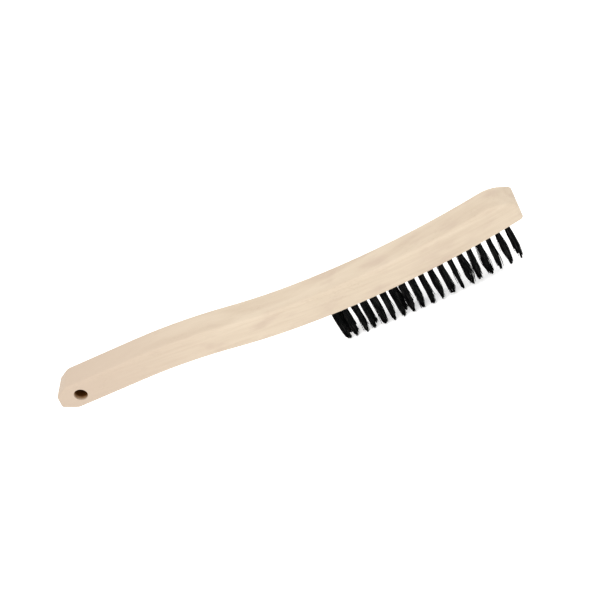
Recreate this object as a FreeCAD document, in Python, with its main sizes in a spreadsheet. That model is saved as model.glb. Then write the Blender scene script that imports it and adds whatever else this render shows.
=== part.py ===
import FreeCAD, Part
import math
import os
import Sketcher

# A wire scratch brush: one bent stick of beech that is handle and block in one piece, with steel
# wire tufts set in blind holes along the block's underside, each pinned by a small wire staple.
# Frame: millimetres, origin on the hang hole's axis at mid width, +X to the nose, +Z to the back.

DIMENSIONS = {
    # the stick's outer sizes
    "hole_to_end": 19.2,
    "hole_to_nose": 333.3,
    "width": 24.7,
    "thickness": 20,
    "hang_diameter": 10,
    # its mid-line: a straight grip, a bend down, a bend back up and the block's long curve
    "grip_straight": 48,
    "first_bend_radius": 435,
    "first_bend_angle": 9.5,
    "second_bend_radius": 450,
    "second_bend_angle": 6.25,
    "block_radius": 675,
    # the bevels at its two ends
    "end_lean": 2,
    "end_top_run": 9,
    "end_top_drop": 4.9,
    "end_under_run": 10.6,
    "end_under_rise": 6.25,
    "nose_run": 13,
    "nose_drop": 6.4,
    # its roundings
    "crest_round": 25,
    "nose_round": 3,
    "bevel_round": 9,
    "end_round": 2,
    "back_edge_round": 2.5,
    "under_edge_round": 1,
    # the tufts and the holes they sit in
    "rows": 19,
    "columns": 3,
    "first_row_x": 190,
    "row_pitch": 7.25,
    "column_pitch": 5.6,
    "tuft_hole_diameter": 3.8,
    "tuft_hole_depth": 12,
    "tuft_diameter": 3.7,
    "neck": 1,
    "belly_diameter": 4.8,
    "belly_fraction": 0.62,
    "tip_diameter": 2.4,
    "trim_first": 30.2,
    "trim_last": 32.5,
    # the staples that pin them
    "staple_wire": 0.9,
    "staple_span": 2.7,
    "staple_bend": 0.7,
    "fold_height": 1.6,
    "leg_bite": 4,
}

doc = FreeCAD.newDocument("wire_brush")
sheet = doc.addObject("Spreadsheet::Sheet", "Dims")
for line, (alias, size) in enumerate(DIMENSIONS.items(), start=1):
    sheet.set(f"A{line}", alias)
    sheet.set(f"B{line}", str(size))
    sheet.setAlias(f"B{line}", alias)
doc.recompute()

START, END, CENTRE = 1, 2, 3
ORIGIN = (-1, START)
HORIZONTAL_AXIS, VERTICAL_AXIS = -1, -2


def dim(alias):
    """A driving dimension's number, used for counts and for a sketch's first guess."""
    return float(sheet.get(alias))


def origin_feature(body, role):
    """One of a body's own origin planes or axes."""
    return next(feature for feature in body.Origin.OriginFeatures if feature.Role == role)


def new_sketch(body, name, role):
    """An empty sketch on one of the body's origin planes."""
    sketch = body.newObject("Sketcher::SketchObject", name)
    sketch.AttachmentSupport = [(origin_feature(body, role), "")]
    sketch.MapMode = "FlatFace"
    return sketch


def bind(sketch, name, expression, *constraint):
    """Add a named dimension to a sketch and bind it to an expression of the sheet."""
    index = sketch.addConstraint(Sketcher.Constraint(*constraint))
    sketch.renameConstraint(index, name)
    sketch.setExpression(f"Constraints.{name}", expression)


def add_lines(sketch, corners, closed=True):
    """Straight edges through the corners, joined end to end; returns their indices."""
    ends = corners[1:] + corners[:1] if closed else corners[1:]
    lines = []
    for first, second in zip(corners, ends):
        segment = Part.LineSegment(FreeCAD.Vector(*first, 0), FreeCAD.Vector(*second, 0))
        lines.append(sketch.addGeometry(segment))
    for before, after in zip(lines, lines[1:]):
        sketch.addConstraint(Sketcher.Constraint("Coincident", before, END, after, START))
    if closed:
        sketch.addConstraint(Sketcher.Constraint("Coincident", lines[-1], END, lines[0], START))
    return lines


# ------------------------------------------------------------------ the wooden stick's outline

def draw_side_outline(sketch):
    """The stick seen from its side: sketch X is the frame's X, sketch Y is its Z."""
    half = dim("thickness") / 2
    radii = [dim("first_bend_radius"), dim("second_bend_radius"), dim("block_radius")]
    steep = math.radians(dim("first_bend_angle"))
    shallow = steep - math.radians(dim("second_bend_angle"))
    end_x, nose_x, bend_x = -dim("hole_to_end"), dim("hole_to_nose"), dim("grip_straight")
    top_x = end_x + dim("end_lean")

    # first guesses for the three arcs' centres, each on the normal at the joint before it
    first = FreeCAD.Vector(bend_x, -radii[0], 0)
    second = first + FreeCAD.Vector(math.sin(steep), math.cos(steep), 0) * (radii[0] + radii[1])
    third = second + FreeCAD.Vector(math.sin(shallow), math.cos(shallow), 0) * (radii[2] - radii[1])

    def point(centre, radius, angle):
        return centre + FreeCAD.Vector(math.cos(angle), math.sin(angle), 0) * radius

    def arc(centre, radius, start, end):
        circle = Part.Circle(centre, FreeCAD.Vector(0, 0, 1), radius)
        return sketch.addGeometry(Part.ArcOfCircle(circle, start, end))

    up, down = math.pi / 2, 3 * math.pi / 2

    def block_angle(radius, x):
        return down + math.asin((x - third.x) / radius)

    def chain(sign):
        """The back (+1) or the underside (-1): the grip's line and the three arcs after it."""
        reach = nose_x - dim("nose_run") if sign > 0 else nose_x
        start_x = top_x + dim("end_top_run") if sign > 0 else end_x + dim("end_under_run")
        grip = sketch.addGeometry(Part.LineSegment(FreeCAD.Vector(start_x, sign * half, 0),
                                                   FreeCAD.Vector(bend_x, sign * half, 0)))
        bend_down = arc(first, radii[0] + sign * half, up - steep, up)
        bend_up = arc(second, radii[1] - sign * half, down - steep, down - shallow)
        block_size = radii[2] - sign * half
        block = arc(third, block_size, down - shallow, block_angle(block_size, reach))
        for joint in ((grip, END, bend_down, END), (bend_down, START, bend_up, START),
                      (bend_up, END, block, START)):
            sketch.addConstraint(Sketcher.Constraint("Tangent", *joint))
        sketch.addConstraint(Sketcher.Constraint("Horizontal", grip))
        return grip, bend_down, bend_up, block

    back = chain(+1)
    under = chain(-1)
    for upper, lower in zip(back[1:], under[1:]):
        sketch.addConstraint(Sketcher.Constraint("Coincident", upper, CENTRE, lower, CENTRE))

    # the handle's bevelled end and the nose
    crest = point(third, radii[2] - half, block_angle(radii[2] - half, nose_x - dim("nose_run")))
    toe = point(third, radii[2] + half, block_angle(radii[2] + half, nose_x))
    end = add_lines(sketch, [(end_x + dim("end_under_run"), -half),
                             (end_x, -half + dim("end_under_rise")),
                             (top_x, half - dim("end_top_drop")),
                             (top_x + dim("end_top_run"), half)], closed=False)
    nose = add_lines(sketch, [(crest.x, crest.y),
                              (nose_x, crest.y - dim("nose_drop")),
                              (nose_x, toe.y)], closed=False)
    for joint in ((end[0], START, under[0], START), (end[2], END, back[0], START),
                  (nose[0], START, back[3], END), (nose[1], END, under[3], END)):
        sketch.addConstraint(Sketcher.Constraint("Coincident", *joint))
    sketch.addConstraint(Sketcher.Constraint("Vertical", nose[1]))

    # the driving dimensions
    bind(sketch, "back_of_first_bend", "Dims.first_bend_radius + Dims.thickness / 2",
         "Radius", back[1], radii[0] + half)
    bind(sketch, "back_of_second_bend", "Dims.second_bend_radius - Dims.thickness / 2",
         "Radius", back[2], radii[1] - half)
    bind(sketch, "back_of_block", "Dims.block_radius - Dims.thickness / 2",
         "Radius", back[3], radii[2] - half)
    bind(sketch, "underside_of_first_bend", "Dims.first_bend_radius - Dims.thickness / 2",
         "Radius", under[1], radii[0] - half)
    bind(sketch, "first_bend", "Dims.first_bend_angle", "Angle", back[1], steep)
    bind(sketch, "second_bend", "Dims.second_bend_angle", "Angle", back[2], steep - shallow)
    bind(sketch, "bend_start", "Dims.grip_straight",
         "DistanceX", *ORIGIN, back[0], END, bend_x)
    bind(sketch, "grip_back", "Dims.thickness / 2", "DistanceY", *ORIGIN, back[0], END, half)
    bind(sketch, "end_reach", "Dims.hole_to_end", "DistanceX", end[1], START, *ORIGIN, -end_x)
    bind(sketch, "end_lean", "Dims.end_lean", "DistanceX", end[1], START, end[1], END,
         dim("end_lean"))
    bind(sketch, "nose_reach", "Dims.hole_to_nose", "DistanceX", *ORIGIN, nose[1], START, nose_x)
    for name, line, ends in (("end_under", end[0], (END, START)), ("end_top", end[2], (START, END)),
                             ("nose", nose[0], (START, END))):
        bind(sketch, f"{name}_run", f"Dims.{name}_run",
             "DistanceX", line, ends[0], line, ends[1], dim(f"{name}_run"))
    bind(sketch, "end_under_rise", "Dims.end_under_rise",
         "DistanceY", end[0], START, end[0], END, dim("end_under_rise"))
    bind(sketch, "end_top_drop", "Dims.end_top_drop",
         "DistanceY", end[2], START, end[2], END, dim("end_top_drop"))
    bind(sketch, "nose_drop", "Dims.nose_drop",
         "DistanceY", nose[0], END, nose[0], START, dim("nose_drop"))

    # read back by the tuft rows: the centre of the block's curve
    for name, kind in (("block_centre_x", "DistanceX"), ("block_centre_z", "DistanceY")):
        value = third.x if kind == "DistanceX" else third.y
        index = sketch.addConstraint(Sketcher.Constraint(kind, *ORIGIN, back[3], CENTRE, value))
        sketch.setDriving(index, False)
        sketch.renameConstraint(index, name)


# ------------------------------------------------------------------ the wooden stick

HAIR = 0.01             # two lengths or directions closer than this are taken as the same
LONG_FACE_RISE = 0.3    # how far a normal must rise, or fall, to be the back's or the underside's


def cross_edges(shape, places):
    """Names of the edges that run across the stick (along Y) nearest to the given (x, z)."""
    names = []
    for x, z in places:
        def distance(numbered):
            middle = numbered[1].CenterOfMass
            return math.hypot(middle.x - x, middle.z - z)
        across = [(index, edge) for index, edge in enumerate(shape.Edges, start=1)
                  if abs(edge.tangentAt(edge.FirstParameter).y) > 1 - HAIR]
        names.append(f"Edge{min(across, key=distance)[0]}")
    return names


def rim_edges(shape, side):
    """Names of both long edges of the back (side +1) or of the underside (side -1)."""
    half_width = dim("width") / 2
    names = set()
    for face in shape.Faces:
        umin, umax, vmin, vmax = face.ParameterRange
        rise = face.normalAt((umin + umax) / 2, (vmin + vmax) / 2).z
        across_width = abs(face.CenterOfMass.y) < HAIR
        if not across_width or rise * side < LONG_FACE_RISE:
            continue
        for index, edge in enumerate(shape.Edges, start=1):
            in_side_face = all(abs(abs(corner.Y) - half_width) < HAIR for corner in edge.Vertexes)
            one_side = abs(abs(edge.CenterOfMass.y) - half_width) < HAIR
            if in_side_face and one_side and any(edge.isSame(other) for other in face.Edges):
                names.add(f"Edge{index}")
    return sorted(names)


def add_fillet(body, name, base, edges, radius):
    """Round some of a feature's edges by a radius from the sheet."""
    fillet = body.newObject("PartDesign::Fillet", name)
    fillet.Base = (base, edges)
    fillet.setExpression("Radius", f"Dims.{radius}")
    doc.recompute()
    return fillet


def number(expression):
    """The number that an expression of the sheet has now."""
    result = sheet.evalExpression(expression)
    return float(getattr(result, "Value", result))


def add_circle(sketch, name, x, y, diameter):
    """A circle whose centre and diameter are expressions of the sheet."""
    centre = FreeCAD.Vector(number(x), number(y), 0)
    ring = sketch.addGeometry(Part.Circle(centre, FreeCAD.Vector(0, 0, 1), number(diameter) / 2))
    bind(sketch, f"{name}_size", diameter, "Diameter", ring, number(diameter))
    for axis, place in (("X", x), ("Y", y)):
        if number(place) == 0:
            line = VERTICAL_AXIS if axis == "X" else HORIZONTAL_AXIS
            sketch.addConstraint(Sketcher.Constraint("PointOnObject", ring, CENTRE, line))
        else:
            bind(sketch, f"{name}_{axis}", place, f"Distance{axis}",
                 *ORIGIN, ring, CENTRE, number(place))


def row_x(row):
    """Where a row of tufts stands along the stick, as an expression; rows count from 1."""
    return f"Dims.first_row_x + Dims.row_pitch * {row - 1}"


def row_z(row):
    """The height of the block's curved underside at a row, as an expression."""
    along = f"({row_x(row)} - side_outline.Constraints.block_centre_x / 1mm)"
    reach = "(Dims.block_radius + Dims.thickness / 2)"
    return f"side_outline.Constraints.block_centre_z / 1mm - sqrt({reach}^2 - {along}^2)"


def column_y(column):
    """Where a column of tufts stands across the stick, as an expression; columns count from 1."""
    return f"Dims.column_pitch * ({column - 1} - (Dims.columns - 1) / 2)"


rows = range(1, int(dim("rows")) + 1)
columns = range(1, int(dim("columns")) + 1)

stick = doc.addObject("PartDesign::Body", "stick")
outline = new_sketch(stick, "side_outline", "XZ_Plane")
draw_side_outline(outline)
board = stick.newObject("PartDesign::Pad", "board")
board.Profile = outline
board.SideType = "Symmetric"
board.setExpression("Length", "Dims.width")
doc.recompute()

back_z = dim("thickness") / 2
low_x = -dim("hole_to_end")
high_x = low_x + dim("end_lean")
nose_x = dim("hole_to_nose")
crest = (nose_x - dim("nose_run"), back_z)
bevel_starts = [(high_x + dim("end_top_run"), back_z),
                (low_x + dim("end_under_run"), -back_z)]
high_corner = (high_x, back_z - dim("end_top_drop"))

# the end's low corner stays sharp, so that the back's rounding stops there and doesn't run on
# along the underside
rounded = board
for name, places, radius in (("rounded_crest", [crest], "crest_round"),
                             ("rounded_nose", [(nose_x, 0)], "nose_round"),
                             ("rounded_bevels", bevel_starts, "bevel_round"),
                             ("rounded_high_corner", [high_corner], "end_round")):
    rounded = add_fillet(stick, name, rounded, cross_edges(rounded.Shape, places), radius)
rounded = add_fillet(stick, "rounded_back", rounded, rim_edges(rounded.Shape, +1),
                     "back_edge_round")
add_fillet(stick, "rounded_underside", rounded, rim_edges(rounded.Shape, -1),
           "under_edge_round")


def hole_volume(diameter, depth):
    """The wood that one round hole takes away, from two of the sheet's names."""
    return math.pi / 4 * dim(diameter) ** 2 * dim(depth)


pockets = {}        # each pocket and the volume it should take away
hang_sketch = new_sketch(stick, "hang_hole_sketch", "XZ_Plane")
add_circle(hang_sketch, "hang_hole", "0", "0", "Dims.hang_diameter")
hang_hole = stick.newObject("PartDesign::Pocket", "hang_hole")
hang_hole.Profile = hang_sketch
hang_hole.Type = "ThroughAll"
hang_hole.SideType = "Symmetric"
pockets[hang_hole] = hole_volume("hang_diameter", "width")

for row in rows:
    row_sketch = new_sketch(stick, f"row_{row:02d}_circles", "XY_Plane")
    row_sketch.setExpression("AttachmentOffset.Base.z", f"{row_z(row)} + Dims.tuft_hole_depth")
    for column in columns:
        add_circle(row_sketch, f"column_{column}", row_x(row), column_y(column),
                   "Dims.tuft_hole_diameter")
    row_holes = stick.newObject("PartDesign::Pocket", f"row_{row:02d}_holes")
    row_holes.Profile = row_sketch
    row_holes.Type = "ThroughAll"
    row_holes.Reversed = False
    pockets[row_holes] = len(columns) * hole_volume("tuft_hole_diameter", "tuft_hole_depth")
doc.recompute()

# ------------------------------------------------------------------ one staple

CROWN_Z = "Dims.tuft_hole_depth - Dims.fold_height"
LEG_TOP_Z = "Dims.tuft_hole_depth + Dims.leg_bite"
LEG_Y = "Dims.staple_span / 2"


def draw_staple_path(sketch):
    """The staple's bent centreline: two legs up, a crown across; sketch X is Y, sketch Y is Z."""
    leg, crown, top, bend = number(LEG_Y), number(CROWN_Z), number(LEG_TOP_Z), dim("staple_bend")
    vector = FreeCAD.Vector

    def corner(side):
        centre = Part.Circle(vector(side * (leg - bend), crown + bend, 0), vector(0, 0, 1), bend)
        start = -math.pi / 2 if side > 0 else -math.pi
        return sketch.addGeometry(Part.ArcOfCircle(centre, start, start + math.pi / 2))

    right = sketch.addGeometry(Part.LineSegment(vector(leg, top, 0), vector(leg, crown + bend, 0)))
    right_bend = corner(+1)
    middle = sketch.addGeometry(Part.LineSegment(vector(leg - bend, crown, 0),
                                                 vector(bend - leg, crown, 0)))
    left_bend = corner(-1)
    left = sketch.addGeometry(Part.LineSegment(vector(-leg, crown + bend, 0),
                                               vector(-leg, top, 0)))
    for joint in ((right, END, right_bend, END), (right_bend, START, middle, START),
                  (middle, END, left_bend, END), (left_bend, START, left, START)):
        sketch.addConstraint(Sketcher.Constraint("Tangent", *joint))
    sketch.addConstraint(Sketcher.Constraint("Vertical", right))
    sketch.addConstraint(Sketcher.Constraint("Horizontal", middle))
    sketch.addConstraint(Sketcher.Constraint("Vertical", left))
    sketch.addConstraint(Sketcher.Constraint("Equal", right_bend, left_bend))
    sketch.addConstraint(Sketcher.Constraint("Equal", right, left))
    bind(sketch, "bend_size", "Dims.staple_bend", "Radius", right_bend, bend)
    bind(sketch, "leg_place", LEG_Y, "DistanceX", *ORIGIN, right, START, leg)
    bind(sketch, "leg_top", LEG_TOP_Z, "DistanceY", *ORIGIN, right, START, top)
    bind(sketch, "crown_height", CROWN_Z, "DistanceY", *ORIGIN, middle, START, crown)
    bind(sketch, "span", "Dims.staple_span", "DistanceX", left, END, right, START, 2 * leg)


staple = doc.addObject("PartDesign::Body", "staple_shape")
path = new_sketch(staple, "staple_path", "YZ_Plane")
draw_staple_path(path)
section = new_sketch(staple, "staple_section", "XY_Plane")
section.setExpression("AttachmentOffset.Base.z", LEG_TOP_Z)
add_circle(section, "wire", "0", LEG_Y, "Dims.staple_wire")
wire = staple.newObject("PartDesign::AdditivePipe", "staple_bent_wire")
wire.Profile = section
wire.Spine = (path, [])
doc.recompute()


# ------------------------------------------------------------------ the tufts

def draw_tuft_profile(sketch, length):
    """Half a tuft's section: a round root, a belly and a ragged tip drawn as a blunt cone."""
    depth, neck, trim = dim("tuft_hole_depth"), dim("neck"), number(length)
    belly_depth = f"({length}) * Dims.belly_fraction"
    radii = {name: dim(f"{name}_diameter") / 2 for name in ("tuft", "belly", "tip")}
    top, wall, swell, taper, cut, axis = add_lines(sketch, [
        (0, depth), (radii["tuft"], depth), (radii["tuft"], -neck),
        (radii["belly"], -number(belly_depth)), (radii["tip"], -trim), (0, -trim)])
    for line in (top, cut):
        sketch.addConstraint(Sketcher.Constraint("Horizontal", line))
    sketch.addConstraint(Sketcher.Constraint("Vertical", wall))
    for point in (START, END):
        sketch.addConstraint(Sketcher.Constraint("PointOnObject", axis, point, VERTICAL_AXIS))
    for name, line in (("tuft", wall), ("belly", taper), ("tip", cut)):
        bind(sketch, f"{name}_radius", f"Dims.{name}_diameter / 2",
             "DistanceX", *ORIGIN, line, START, radii[name])
    bind(sketch, "root", "Dims.tuft_hole_depth", "DistanceY", *ORIGIN, top, START, depth)
    bind(sketch, "neck", "Dims.neck", "DistanceY", swell, START, *ORIGIN, neck)
    bind(sketch, "belly_depth", belly_depth,
         "DistanceY", taper, START, *ORIGIN, number(belly_depth))
    bind(sketch, "trim", length, "DistanceY", cut, START, *ORIGIN, trim)


def make_tuft(row, column):
    """One tuft standing in its hole, less the staple that pins it; returns the two objects."""
    name = f"tuft_r{row:02d}_c{column}"
    length = f"Dims.trim_first + (Dims.trim_last - Dims.trim_first) * {row - 1} / (Dims.rows - 1)"
    bundle = doc.addObject("PartDesign::Body", f"{name}_bundle")
    profile = new_sketch(bundle, f"{name}_profile", "XZ_Plane")
    draw_tuft_profile(profile, length)
    turned = bundle.newObject("PartDesign::Revolution", f"{name}_turned")
    turned.Profile = profile
    turned.ReferenceAxis = (profile, ["V_Axis"])
    turned.Angle = 360
    pin = doc.addObject("App::Link", f"{name}_pin")
    pin.LinkedObject = staple
    for thing in (bundle, pin):
        thing.setExpression("Placement.Base.x", row_x(row))
        thing.setExpression("Placement.Base.y", column_y(column))
        thing.setExpression("Placement.Base.z", row_z(row))
    tuft = doc.addObject("Part::Cut", name)
    tuft.Base = bundle
    tuft.Tool = pin
    return tuft, pin


tufts = []
pins = []
for row in rows:
    for column in columns:
        tuft, pin = make_tuft(row, column)
        tufts.append(tuft)
        pins.append(pin)

staples = doc.addObject("Part::Compound", "tuft_staples")
staples.Links = pins

handle = doc.addObject("Part::Cut", "wood_handle")
handle.Base = stick
handle.Tool = staples
doc.recompute()

# ------------------------------------------------------------------ checks and output

POCKET_TOLERANCE = 0.01     # share by which a pocket may differ from its holes' volume

sub_parts = [handle, staples, *tufts]
for item in doc.Objects:
    if "Invalid" in item.State or "Error" in item.State:
        raise RuntimeError(f"{item.Label} failed: {item.State}")
for item in sub_parts:
    if item.Shape.isNull() or not item.Shape.isValid():
        raise RuntimeError(f"{item.Label} has no valid shape")
for pocket, volume in pockets.items():
    taken = pocket.BaseFeature.Shape.Volume - pocket.Shape.Volume
    if abs(taken / volume - 1) > POCKET_TOLERANCE:
        raise RuntimeError(f"{pocket.Label} took away {taken:.1f} mm3, not {volume:.1f} mm3")

os.makedirs("parts", exist_ok=True)
for item in sub_parts:
    item.Shape.exportStep(f"parts/{item.Label}.step")
    print(f"{item.Label}: {len(item.Shape.Solids)} solid(s), {item.Shape.Volume:.1f} mm3")
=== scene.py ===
import math
import random

import bpy
from mathutils import Matrix, Vector


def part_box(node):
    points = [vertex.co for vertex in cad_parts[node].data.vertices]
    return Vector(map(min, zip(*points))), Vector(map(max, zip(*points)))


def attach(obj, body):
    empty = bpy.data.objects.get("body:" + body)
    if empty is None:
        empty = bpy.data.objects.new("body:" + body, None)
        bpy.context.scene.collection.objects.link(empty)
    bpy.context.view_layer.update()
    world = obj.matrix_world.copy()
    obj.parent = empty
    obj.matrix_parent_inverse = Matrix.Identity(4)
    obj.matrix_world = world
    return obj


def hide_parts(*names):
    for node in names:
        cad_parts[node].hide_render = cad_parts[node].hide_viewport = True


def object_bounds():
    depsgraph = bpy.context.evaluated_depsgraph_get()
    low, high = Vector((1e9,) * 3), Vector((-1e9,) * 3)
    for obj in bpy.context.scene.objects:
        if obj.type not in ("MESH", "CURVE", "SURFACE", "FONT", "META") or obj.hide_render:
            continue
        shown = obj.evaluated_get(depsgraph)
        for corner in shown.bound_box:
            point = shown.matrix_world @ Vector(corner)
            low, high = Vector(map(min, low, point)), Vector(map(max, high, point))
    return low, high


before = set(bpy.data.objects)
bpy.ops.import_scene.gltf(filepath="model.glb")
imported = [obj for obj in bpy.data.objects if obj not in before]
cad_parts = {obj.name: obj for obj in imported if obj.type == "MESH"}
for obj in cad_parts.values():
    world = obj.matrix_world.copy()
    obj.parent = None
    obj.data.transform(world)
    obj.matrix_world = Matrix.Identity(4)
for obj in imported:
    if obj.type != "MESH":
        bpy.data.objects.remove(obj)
cad_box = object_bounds()

MM = 0.001
BODY = "root"
ROWS = 19
COLUMNS = 3


# ------------------------------------------------------------------ node helpers

def new_material(name):
    """An empty node material; returns it with its node tree and its Principled shader."""
    material = bpy.data.materials.new(name)
    material.use_nodes = True
    tree = material.node_tree
    return material, tree, tree.nodes["Principled BSDF"]


def add(tree, kind, **settings):
    """A new node of a kind, with its properties set."""
    node = tree.nodes.new(kind)
    for name, value in settings.items():
        setattr(node, name, value)
    return node


def join(tree, source, target):
    tree.links.new(source, target)


def math_node(tree, operation, first, second=0.0, clamp=False):
    """A Math node on two sockets or numbers; returns its output."""
    node = add(tree, "ShaderNodeMath", operation=operation, use_clamp=clamp)
    for socket, value in zip(node.inputs, (first, second)):
        if isinstance(value, (int, float)):
            socket.default_value = value
        else:
            join(tree, value, socket)
    return node.outputs[0]


def ramp(tree, source, low, high, out_low=0.0, out_high=1.0):
    """A value mapped smoothly from low..high to out_low..out_high."""
    node = add(tree, "ShaderNodeMapRange", interpolation_type="SMOOTHSTEP")
    join(tree, source, node.inputs["Value"])
    node.inputs["From Min"].default_value = low
    node.inputs["From Max"].default_value = high
    node.inputs["To Min"].default_value = out_low
    node.inputs["To Max"].default_value = out_high
    return node.outputs["Result"]


def blend_colour(tree, mask, first, second):
    """A colour that goes from the first to the second as the mask goes from 0 to 1."""
    node = add(tree, "ShaderNodeMix", data_type="RGBA")
    join(tree, mask, node.inputs["Factor"])
    for socket, value in ((node.inputs["A"], first), (node.inputs["B"], second)):
        if isinstance(value, tuple):
            socket.default_value = (*value, 1)
        else:
            join(tree, value, socket)
    return node.outputs["Result"]


def stretched(tree, coordinates, cells):
    """Coordinates counted in cells: so many per metre along X, Y and Z."""
    node = add(tree, "ShaderNodeVectorMath", operation="MULTIPLY")
    join(tree, coordinates, node.inputs[0])
    node.inputs[1].default_value = cells
    return node.outputs[0]


def noise(tree, coordinates, cells, detail=2.0, roughness=0.5):
    """A noise texture's 0..1 value, with so many cells per metre along X, Y and Z."""
    node = add(tree, "ShaderNodeTexNoise")
    join(tree, stretched(tree, coordinates, cells), node.inputs["Vector"])
    node.inputs["Scale"].default_value = 1.0
    node.inputs["Detail"].default_value = detail
    node.inputs["Roughness"].default_value = roughness
    return node.outputs["Fac"]


def length_of(tree, coordinates):
    """The length of a vector."""
    node = add(tree, "ShaderNodeVectorMath", operation="LENGTH")
    join(tree, coordinates, node.inputs[0])
    return node.outputs["Value"]


def parts_of(tree, coordinates):
    """A vector's X, Y and Z, as three outputs by name."""
    node = add(tree, "ShaderNodeSeparateXYZ")
    join(tree, coordinates, node.inputs[0])
    return node.outputs


# ------------------------------------------------------------------ the beech of the handle

WOOD_LIGHT = (0.541, 0.452, 0.346)
WOOD_DARK = (0.450, 0.360, 0.267)
WOOD_ROSE = (0.455, 0.360, 0.279)
WOOD_FLECK = (0.280, 0.190, 0.130)
# the hang hole's wall colours: drill scorch and painted shade, darker deeper in the hole
HOLE_TOAST_AND_SHADE = (0.340, 0.205, 0.105)
HOLE_SCORCH_AND_SHADE = (0.110, 0.042, 0.009)
GRAIN_TILT = math.radians(5)        # the grain runs down towards the nose
GRAIN_SKEW = math.radians(1)        # and a little across the width
GRAIN_LIFT = 0.7                    # per metre: how it bends up again along the block
BLOCK_FROM = 170 * MM
HEART = Vector((0, 0.05, -0.30))    # the tree's heart, seen from the hang hole
RING_SPACING = 3.2 * MM
RING_WAVER = 1.6                    # how far the rings wander, in ring spacings
GRIP_FROM, GRIP_TO = 150 * MM, -15 * MM     # where a darker tone fades in towards the grip end
HANG_HOLE_RADIUS = 5 * MM
HALF_WIDTH = 12.35 * MM
UNMARKED_TO, BURNT_AND_SHADED_FROM = 0.3 * MM, 6.0 * MM   # depths in the hang hole, from either side: where its drill scorch and painted shade are faintest and where they are full

# how fine each layer of the figure is: cells per metre along the grain and across it
FIBRE_CELLS = (60, 2400, 2400)
STREAK_CELLS = (14, 78, 300)
PATCH_CELLS = (22, 60, 60)
BLUSH_CELLS = (45, 110, 110)
WAVER_CELLS = (5, 30, 30)
FLECK_CELLS = (260, 1500, 1500)

# how far each layer takes the colour from light to dark, and how strong the tints are
RING_TONE = 0.12
STREAK_TONES = (-0.05, 0.36)
PATCH_TONES = (0.0, 0.24)
FIBRE_TONES = (-0.10, 0.12)
BLUSH_MOST = 0.8
GRIP_TONE_MOST = 0.9
FLECK_MOST = 0.3
FIBRE_RELIEF = 0.05 * MM


def along_the_grain(tree, place):
    """Coordinates in the board: X along the grain, Y and Z from the tree's heart."""
    board = add(tree, "ShaderNodeMapping", vector_type="TEXTURE")
    join(tree, place, board.inputs["Vector"])
    board.inputs["Location"].default_value = HEART
    board.inputs["Rotation"].default_value = (0, GRAIN_TILT, GRAIN_SKEW)
    straight = parts_of(tree, board.outputs["Vector"])
    past = math_node(tree, "SUBTRACT", parts_of(tree, place)["X"], BLOCK_FROM)
    past = math_node(tree, "MAXIMUM", past, 0.0)
    lift = math_node(tree, "MULTIPLY", math_node(tree, "POWER", past, 2.0), GRAIN_LIFT)
    bent = add(tree, "ShaderNodeCombineXYZ")
    join(tree, straight["X"], bent.inputs["X"])
    join(tree, straight["Y"], bent.inputs["Y"])
    join(tree, math_node(tree, "SUBTRACT", straight["Z"], lift), bent.inputs["Z"])
    return bent.outputs[0]


def growth_rings(tree, grain):
    """Soft bands of late wood, by the distance from the tree's heart, made uneven."""
    from_heart = length_of(tree, stretched(tree, grain, (0, 1, 1)))
    waver = noise(tree, grain, WAVER_CELLS, detail=3)
    waver = math_node(tree, "MULTIPLY", waver, RING_WAVER * RING_SPACING)
    depth = math_node(tree, "ADD", from_heart, waver)
    phase = math_node(tree, "FRACT", math_node(tree, "DIVIDE", depth, RING_SPACING))
    late_wood = ramp(tree, phase, 0.2, 0.85)
    ring_end = ramp(tree, phase, 0.86, 1.0, 1.0, 0.0)
    return math_node(tree, "MULTIPLY", late_wood, ring_end)


def ray_flecks(tree, grain, patches):
    """Short dark dashes along the grain, only in some patches."""
    dashes = add(tree, "ShaderNodeTexVoronoi", feature="F1")
    join(tree, stretched(tree, grain, FLECK_CELLS), dashes.inputs["Vector"])
    dashes.inputs["Scale"].default_value = 1.0
    return math_node(tree, "MULTIPLY",
                     ramp(tree, dashes.outputs["Distance"], 0.1, 0.3, 1.0, 0.0),
                     ramp(tree, patches, 0.5, 0.7))


def wood_figure(tree, place):
    """The beech's colour, its fibres and its ray flecks, as three sockets."""
    grain = along_the_grain(tree, place)
    fibres = noise(tree, grain, FIBRE_CELLS, detail=3, roughness=0.7)
    streaks = noise(tree, grain, STREAK_CELLS, detail=3, roughness=0.6)
    patches = noise(tree, grain, PATCH_CELLS)
    blush = noise(tree, grain, BLUSH_CELLS)
    flecks = ray_flecks(tree, grain, patches)

    tone = math_node(tree, "MULTIPLY", growth_rings(tree, grain), RING_TONE)
    tone = math_node(tree, "ADD", tone, ramp(tree, streaks, 0.35, 0.72, *STREAK_TONES))
    tone = math_node(tree, "ADD", tone, ramp(tree, patches, 0.35, 0.7, *PATCH_TONES))
    tone = math_node(tree, "ADD", tone, ramp(tree, fibres, 0.3, 0.7, *FIBRE_TONES), clamp=True)
    colour = blend_colour(tree, tone, WOOD_LIGHT, WOOD_DARK)

    # a darker, rosier tone towards the grip end
    grip_tone = ramp(tree, parts_of(tree, place)["X"], GRIP_TO, GRIP_FROM, GRIP_TONE_MOST, 0.0)
    rose = math_node(tree, "MAXIMUM", ramp(tree, blush, 0.45, 0.75, 0.0, BLUSH_MOST), grip_tone)
    colour = blend_colour(tree, rose, colour, WOOD_ROSE)
    shown = math_node(tree, "MULTIPLY", flecks, FLECK_MOST)
    colour = blend_colour(tree, shown, colour, WOOD_FLECK)
    return colour, fibres, flecks


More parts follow.
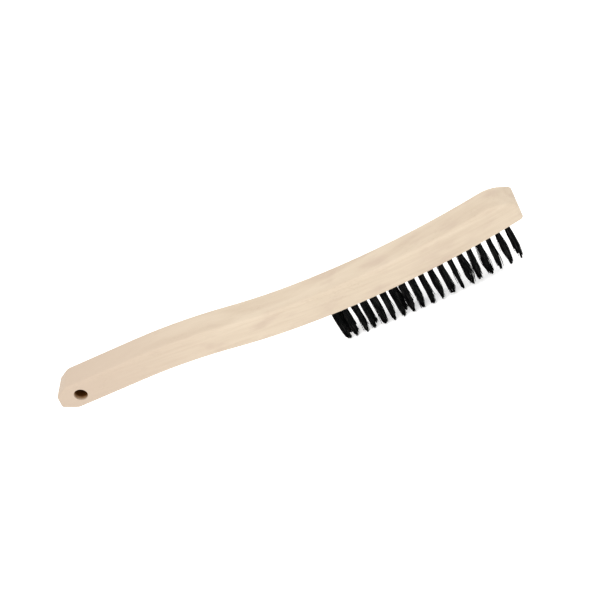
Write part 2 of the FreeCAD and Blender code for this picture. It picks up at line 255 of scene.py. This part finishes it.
def scorch_and_shade(tree, place):
    """How much drill scorch and painted shade the hang hole's wall gets: none at its two mouths, dark
    further in.
    """
    from_axis = length_of(tree, stretched(tree, place, (1, 0, 1)))
    wall = ramp(tree, from_axis,
                HANG_HOLE_RADIUS + 0.05 * MM, HANG_HOLE_RADIUS + 0.3 * MM, 1.0, 0.0)
    from_middle = math_node(tree, "ABSOLUTE", parts_of(tree, place)["Y"])
    inside = ramp(tree, from_middle, HALF_WIDTH - BURNT_AND_SHADED_FROM, HALF_WIDTH - UNMARKED_TO, 1.0, 0.05)
    return math_node(tree, "MULTIPLY", wall, inside)


def wood_material():
    """Pale, straight-grained beech, sanded and left bare."""
    material, tree, shader = new_material("beech")
    place = add(tree, "ShaderNodeTexCoord").outputs["Object"]
    colour, fibres, flecks = wood_figure(tree, place)
    burnt_and_shaded = scorch_and_shade(tree, place)
    # darkens the hang hole's wall deeper in: drill scorch and painted shade
    colour = blend_colour(tree, ramp(tree, burnt_and_shaded, 0.0, 0.3), colour, HOLE_TOAST_AND_SHADE)
    colour = blend_colour(tree, ramp(tree, burnt_and_shaded, 0.35, 0.9), colour, HOLE_SCORCH_AND_SHADE)
    join(tree, colour, shader.inputs["Base Color"])
    join(tree, ramp(tree, burnt_and_shaded, 0.0, 0.6, 0.22, 0.0), shader.inputs["Specular IOR Level"])
    join(tree, ramp(tree, fibres, 0.2, 0.8, 0.52, 0.66), shader.inputs["Roughness"])
    relief = math_node(tree, "SUBTRACT", math_node(tree, "MULTIPLY", fibres, 0.5), flecks)
    bump = add(tree, "ShaderNodeBump")
    bump.inputs["Strength"].default_value = 0.3
    bump.inputs["Distance"].default_value = FIBRE_RELIEF
    join(tree, relief, bump.inputs["Height"])
    join(tree, bump.outputs["Normal"], shader.inputs["Normal"])
    return material


# ------------------------------------------------------------------ the steels

WIRE_BLACK = (0.006, 0.006, 0.0065)
WIRE_GREY = (0.035, 0.034, 0.033)
WIRE_RUBBED = (0.08, 0.078, 0.075)
WIRE_TONE_CELLS = (2600, 2600, 45)      # one tone for about a wire's width, long along it
WIRE_MARK_CELLS = (2600, 2600, 2600)
STAPLE_LIGHT = (0.50, 0.49, 0.47)
STAPLE_DARK = (0.36, 0.35, 0.34)
STAPLE_CELLS = (4000, 900, 900)


def wire_material():
    """Dark tempered steel wire: nearly black, with a faint sheen and a few greyer wires."""
    material, tree, shader = new_material("bristle_steel")
    place = add(tree, "ShaderNodeTexCoord").outputs["Object"]
    wire_tone = noise(tree, place, WIRE_TONE_CELLS, detail=1)
    scale_marks = noise(tree, place, WIRE_MARK_CELLS, detail=3)
    colour = blend_colour(tree, ramp(tree, wire_tone, 0.5, 0.72), WIRE_BLACK, WIRE_GREY)
    colour = blend_colour(tree, ramp(tree, scale_marks, 0.6, 0.8, 0.0, 0.5), colour, WIRE_RUBBED)
    join(tree, colour, shader.inputs["Base Color"])
    shader.inputs["Metallic"].default_value = 1.0
    shader.inputs["Specular Tint"].default_value = (0.25, 0.25, 0.25, 1)
    join(tree, ramp(tree, scale_marks, 0.3, 0.7, 0.36, 0.55), shader.inputs["Roughness"])
    return material


def staple_material():
    """Plain drawn steel for the staples."""
    material, tree, shader = new_material("staple_steel")
    place = add(tree, "ShaderNodeTexCoord").outputs["Object"]
    drawn = noise(tree, place, STAPLE_CELLS)
    colour = blend_colour(tree, drawn, STAPLE_DARK, STAPLE_LIGHT)
    join(tree, colour, shader.inputs["Base Color"])
    shader.inputs["Metallic"].default_value = 1.0
    join(tree, ramp(tree, drawn, 0.3, 0.7, 0.28, 0.42), shader.inputs["Roughness"])
    return material


# ------------------------------------------------------------------ tufts of folded wire

WIRE_RADIUS = 0.175 * MM
WIRE_SIDES = 5
WIRE_SPACING = 0.38 * MM            # between neighbours where they leave the wood
ROOT_RADIUS = 1.52 * MM             # from the tuft's axis to its outermost wires' centres
HOLE_DEPTH = 12 * MM
CROWN_HEIGHT = 10.4 * MM            # the staple's centreline, above the underside
CROWN_RADIUS = 0.45 * MM
FOLD_ROOM = 0.75 * MM               # height over the crown that the stacked folds share
SHOULDER_DROP = 2 * MM              # under the crown, where the legs start to spread
HOLE_LIP = 1.5 * MM                 # above the underside, where they stand straight again
CROWN_SQUEEZE = 0.8                 # how narrow the folds sit compared with the root
SHOULDER_SQUEEZE = 0.85
SHOULDER_SPREAD = 0.3
LEG_STATIONS = (0.0, 0.16, 0.34, 0.52, 0.69, 0.85, 1.0)
STRAY_SHARE = 0.08                  # of the wires stand away from their tuft
STRAY_REACH = (0.6 * MM, 1.5 * MM)
CRIMP_WAVES = (0.8, 1.8)            # along a wire
WANDER = 0.17 * MM                  # of each wire's tip
SWAY = 0.10 * MM                    # of each wire's crimp
LOOSE_FROM = 0.35                   # share of the length from which wires drift apart
NECK_AT = 0.16                      # share of the length where the neck's width is reached
BULGE_AT = 0.65                     # share of the length where the bulge is greatest
BELLY_AT = (0.5, 0.66)              # share of the length where the belly is
LEAN_POWER = 1.4
SIDE_LEAN = 0.2                     # of each tip across the width, in millimetres
POINT_SPREAD = 0.35                 # of the longest wire's place off the axis, in millimetres
RAGGED = (0.09, 0.18)               # share of the length missing one root radius from the point
RAGGED_POWER = 1.5
WORN = (0.35, 1.0)                  # how much of that each wire lacks
FARTHEST = 1.3                      # from the tuft's point, in root radii

# How the near tufts look, from the handle to the nose: how far the tip leans towards the nose,
# how far the belly bulges that way, and how wide the neck, the belly and the tip are, in millimetres.
NEAR_TUFTS = (
    (0.5, -0.3, 5.2, 5.6, 4.4), (-0.8, -0.4, 3.6, 5.4, 3.0), (-0.5, 0.0, 5.4, 3.2, 2.2),
    (-1.4, -0.7, 5.8, 3.8, 2.8), (-0.9, 0.4, 6.2, 6.4, 5.0), (-0.9, -0.1, 4.8, 4.2, 2.4),
    (-0.8, -0.1, 6.2, 5.4, 2.4), (-1.2, 0.2, 6.2, 5.6, 2.2), (-1.1, 0.5, 5.8, 5.4, 2.6),
    (-0.3, -0.2, 3.9, 3.2, 3.2), (0.2, 0.1, 4.8, 5.8, 3.4), (0.8, 0.2, 5.0, 5.8, 6.0),
    (0.5, 0.3, 3.7, 3.0, 2.2), (-0.2, 1.3, 5.0, 7.4, 2.0), (-0.2, 0.0, 3.6, 5.4, 4.8),
    (0.9, -0.3, 5.0, 7.6, 3.8), (0.0, 0.8, 3.3, 4.3, 1.9), (0.1, 1.4, 2.9, 4.4, 2.8),
    (0.1, 1.7, 3.2, 3.4, 1.0))
BLUNT_TUFTS = (5,)                  # rows whose near tuft is cut shorter
BLUNT_LENGTH = 0.97
CLOSED_GAPS = (1, 7)                # rows whose far tufts lean over to the next row
CLOSING_LEAN = 2.0                  # in millimetres
FAR_LEAN = 0.3                      # the hidden tufts' random leans and widths, in millimetres
FAR_BELLY = (3.4, 4.0)
FAR_TIP = (1.6, 2.6)
FAR_NECK = 0.3                      # their neck's share of the way from root to belly
FAR_BULGE = 1.1                     # of each further column towards the handle, in row 1


def paired_exits():
    """Where wires leave the wood on the nose side of the staple, on a close-packed grid."""
    places = []
    step = WIRE_SPACING * math.sqrt(3) / 2
    ranks = int(ROOT_RADIUS / step) + 1
    files = int(ROOT_RADIUS / WIRE_SPACING) + 1
    for rank in range(ranks):
        for file in range(-files, files + 1):
            x = (rank + 0.5) * step
            y = (file + 0.5 * (rank % 2)) * WIRE_SPACING
            if math.hypot(x, y) <= ROOT_RADIUS:
                places.append((x, y))
    return places


def smooth(share):
    """An S-shaped rise from 0 to 1."""
    share = min(max(share, 0.0), 1.0)
    return share * share * (3 - 2 * share)


def spread(depth, tuft):
    """How wide the bundle stands at a share of its length, as a multiple of its root."""
    widths = ((0, 1), (NECK_AT, tuft["neck"]), (tuft["belly_depth"], tuft["belly"]),
              (1, tuft["tip"]))
    for (start, before), (end, after) in zip(widths, widths[1:]):
        if depth <= end:
            return before + (after - before) * smooth((depth - start) / (end - start))


def leg(rng, tuft, x, y):
    """The visible part of one wire leg, from where it leaves the wood to its cut end."""
    from_point = math.hypot(x - tuft["point"].x, y - tuft["point"].y) / ROOT_RADIUS
    worn = tuft["ragged"] * min(from_point, FARTHEST) ** RAGGED_POWER
    reach = 1 - worn * rng.uniform(*WORN)
    stray = rng.random() < STRAY_SHARE
    outward = Vector((x, y, 0)).normalized()
    drift = outward * rng.uniform(*STRAY_REACH) if stray else Vector()
    drift += Vector((rng.gauss(0, WANDER), rng.gauss(0, WANDER), 0))
    start = rng.uniform(0, 2 * math.pi)
    waves = rng.uniform(*CRIMP_WAVES)
    points = []
    for station in LEG_STATIONS:
        depth = station * reach
        point = Vector((x, y, 0)) * spread(depth, tuft)
        point += tuft["lean"] * depth ** LEAN_POWER
        point += tuft["bulge"] * math.sin(depth / BULGE_AT * math.pi / 2)
        point += drift * smooth((depth - LOOSE_FROM) / (1 - LOOSE_FROM))
        sway = SWAY * math.sin(math.pi * depth)
        turn = start + waves * 2 * math.pi * depth
        point += Vector((sway * math.sin(turn), sway * math.cos(turn), 0))
        point.z = -depth * tuft["length"]
        points.append(point)
    return points


def hairpin(rng, tuft, x, y):
    """One wire folded over the staple's crown: the points from one cut end to the other."""
    stack = (x - WIRE_SPACING / 2) / ROOT_RADIUS
    fold = CROWN_RADIUS + WIRE_RADIUS + FOLD_ROOM * stack
    crown_y = y * CROWN_SQUEEZE
    shoulder_x = fold + (x - fold) * SHOULDER_SPREAD
    halves = []
    for side in (1, -1):
        inside = [Vector((side * fold, crown_y, CROWN_HEIGHT)),
                  Vector((side * shoulder_x, y * SHOULDER_SQUEEZE, CROWN_HEIGHT - SHOULDER_DROP)),
                  Vector((side * x, y, HOLE_LIP))]
        halves.append(inside + leg(rng, tuft, side * x, y))
    over = []
    for step in (1, 2, 3):
        angle = step * math.pi / 4
        over.append(Vector((fold * math.cos(angle), crown_y,
                            CROWN_HEIGHT + fold * math.sin(angle))))
    return halves[0][::-1] + over + halves[1]


def add_wire(points, vertices, faces):
    """Adds a round wire along the points to a list of vertices and faces."""
    start = len(vertices)
    for index, point in enumerate(points):
        before = points[max(index - 1, 0)]
        after = points[min(index + 1, len(points) - 1)]
        along = (after - before).normalized()
        first = along.cross(Vector((0, 1, 0))).normalized()
        second = along.cross(first)
        for side in range(WIRE_SIDES):
            angle = side / WIRE_SIDES * 2 * math.pi
            ring = first * math.cos(angle) + second * math.sin(angle)
            vertices.append(point + ring * WIRE_RADIUS)
    for index in range(len(points) - 1):
        low = start + index * WIRE_SIDES
        high = low + WIRE_SIDES
        for side in range(WIRE_SIDES):
            beside = (side + 1) % WIRE_SIDES
            faces.append((low + side, low + beside, high + beside, high + side))
    last = len(vertices) - WIRE_SIDES
    faces.append(tuple(range(start + WIRE_SIDES - 1, start - 1, -1)))
    faces.append(tuple(range(last, last + WIRE_SIDES)))


def tuft_shape(rng, row, column, length):
    """One tuft's lean, widths and tip: chosen for the near ones, random for the others."""
    root = 2 * (ROOT_RADIUS + WIRE_RADIUS) / MM
    if column == 1:
        lean, bulge, neck, belly, tip = NEAR_TUFTS[row - 1]
        if row in BLUNT_TUFTS:
            length *= BLUNT_LENGTH
    else:
        lean = rng.gauss(0, FAR_LEAN)
        belly = rng.uniform(*FAR_BELLY)
        tip = rng.uniform(*FAR_TIP)
        neck = root + (belly - root) * FAR_NECK
        bulge = -FAR_BULGE * (column - 1) * (1 - row / ROWS)
    side_lean = rng.gauss(0, SIDE_LEAN)
    if row in CLOSED_GAPS and column > 1:
        lean += CLOSING_LEAN
        bulge = 0.0
    return {
        "length": length,
        "lean": Vector((lean, side_lean, 0)) * MM,
        "bulge": Vector((bulge, 0, 0)) * MM,
        "neck": neck / root,
        "belly": belly / root,
        "belly_depth": rng.uniform(*BELLY_AT),
        "tip": tip / root,
        "point": Vector((rng.gauss(0, POINT_SPREAD), rng.gauss(0, POINT_SPREAD), 0)) * MM,
        "ragged": rng.uniform(*RAGGED),
    }


def build_tuft(row, column, material):
    """A bundle of folded wires in the place of one CAD tuft."""
    node = f"tuft_r{row:02d}_c{column}"
    low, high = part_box(node)
    root = Vector(((low.x + high.x) / 2, (low.y + high.y) / 2, high.z - HOLE_DEPTH))
    rng = random.Random(node)
    tuft = tuft_shape(rng, row, column, root.z - low.z)
    vertices, faces = [], []
    for x, y in paired_exits():
        add_wire(hairpin(rng, tuft, x, y), vertices, faces)
    mesh = bpy.data.meshes.new(f"{node}_wires")
    mesh.from_pydata([root + vertex for vertex in vertices], [], faces)
    mesh.shade_smooth()
    mesh.materials.append(material)
    bundle = bpy.data.objects.new(f"{node}_wires", mesh)
    bpy.context.scene.collection.objects.link(bundle)
    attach(bundle, BODY)
    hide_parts(node)


def repaint(node, material):
    """Gives a CAD node that is shown as it is a better material."""
    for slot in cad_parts[node].material_slots:
        slot.material = material


# ------------------------------------------------------------------ the studio

ORBIT_AZIMUTH = math.radians(15.96)     # how far the camera stands round to the nose's side
ORBIT_HEIGHT = math.radians(34.4)
CAMERA_ROLL = math.radians(32.52)
CAMERA_DISTANCE = 0.7013
LENS = 60.65
LOOK_AT = Vector((172.5, 0, -8.6)) * MM
FLOOR_HALF = 3.0
FLOOR_LIGHT = (0.90, 0.90, 0.90)
FLOOR_DARK = (0.88, 0.88, 0.88)
FLOOR_CELLS = (3, 3, 3)
FLOOR_GLOW = 0.42
SKY = 1.0
KEY_PLACE = Vector((-0.05, -0.42, 1.07))    # from the brush's middle: in front and high
KEY_SIZE = 0.9
KEY_POWER = 9.2


def add_camera():
    """The camera at the photograph's viewing angle, rolled so that the handle runs down-left."""
    ahead = Vector((-math.sin(ORBIT_AZIMUTH) * math.cos(ORBIT_HEIGHT),
                    math.cos(ORBIT_AZIMUTH) * math.cos(ORBIT_HEIGHT),
                    -math.sin(ORBIT_HEIGHT)))
    level = Vector((math.cos(ORBIT_AZIMUTH), math.sin(ORBIT_AZIMUTH), 0))
    upright = level.cross(ahead)
    right = level * math.cos(CAMERA_ROLL) - upright * math.sin(CAMERA_ROLL)
    up = level * math.sin(CAMERA_ROLL) + upright * math.cos(CAMERA_ROLL)
    turn = Matrix((right, up, -ahead)).transposed()
    data = bpy.data.cameras.new("camera")
    data.lens = LENS
    data.sensor_width = 36
    data.clip_start = 0.01
    camera = bpy.data.objects.new("camera", data)
    camera.matrix_world = Matrix.Translation(LOOK_AT - ahead * CAMERA_DISTANCE) @ turn.to_4x4()
    bpy.context.scene.collection.objects.link(camera)
    bpy.context.scene.camera = camera


def floor_material():
    """A plain, matt, white studio floor with a glow that softens the shadows."""
    material, tree, shader = new_material("studio_floor")
    place = add(tree, "ShaderNodeTexCoord").outputs["Object"]
    mottle = noise(tree, place, FLOOR_CELLS)
    colour = blend_colour(tree, mottle, FLOOR_DARK, FLOOR_LIGHT)
    join(tree, colour, shader.inputs["Base Color"])
    shader.inputs["Roughness"].default_value = 0.9
    shader.inputs["Specular IOR Level"].default_value = 0.1
    shader.inputs["Emission Color"].default_value = (1, 1, 1, 1)
    shader.inputs["Emission Strength"].default_value = FLOOR_GLOW
    return material


def add_softbox(name, place, aim, size, power):
    """A square soft light at a place, facing a point."""
    data = bpy.data.lights.new(name, "AREA")
    data.shape = "SQUARE"
    data.size = size
    data.energy = power
    lamp = bpy.data.objects.new(name, data)
    lamp.location = place
    lamp.rotation_euler = (aim - place).to_track_quat("-Z", "Y").to_euler()
    bpy.context.scene.collection.objects.link(lamp)


def add_studio():
    """A pale floor under the tufts' tips, a bright even sky and one soft key light."""
    low, high = cad_box
    corners = []
    for x, y in ((-1, -1), (1, -1), (1, 1), (-1, 1)):
        corners.append((x * FLOOR_HALF, y * FLOOR_HALF, low.z))
    mesh = bpy.data.meshes.new("floor")
    mesh.from_pydata(corners, [], [(0, 1, 2, 3)])
    mesh.materials.append(floor_material())
    floor = bpy.data.objects.new("floor", mesh)
    bpy.context.scene.collection.objects.link(floor)

    world = bpy.data.worlds.new("studio")
    world.use_nodes = True
    background = world.node_tree.nodes["Background"]
    background.inputs["Color"].default_value = (1, 1, 1, 1)
    background.inputs["Strength"].default_value = SKY
    bpy.context.scene.world = world

    middle = (low + high) / 2
    add_softbox("key", middle + KEY_PLACE, middle, KEY_SIZE, KEY_POWER)
    bpy.context.scene.view_settings.view_transform = "Standard"


# ------------------------------------------------------------------ the whole brush

repaint("wood_handle", wood_material())
repaint("tuft_staples", staple_material())
wire = wire_material()
for row in range(1, ROWS + 1):
    for column in range(1, COLUMNS + 1):
        build_tuft(row, column, wire)
add_camera()
add_studio()
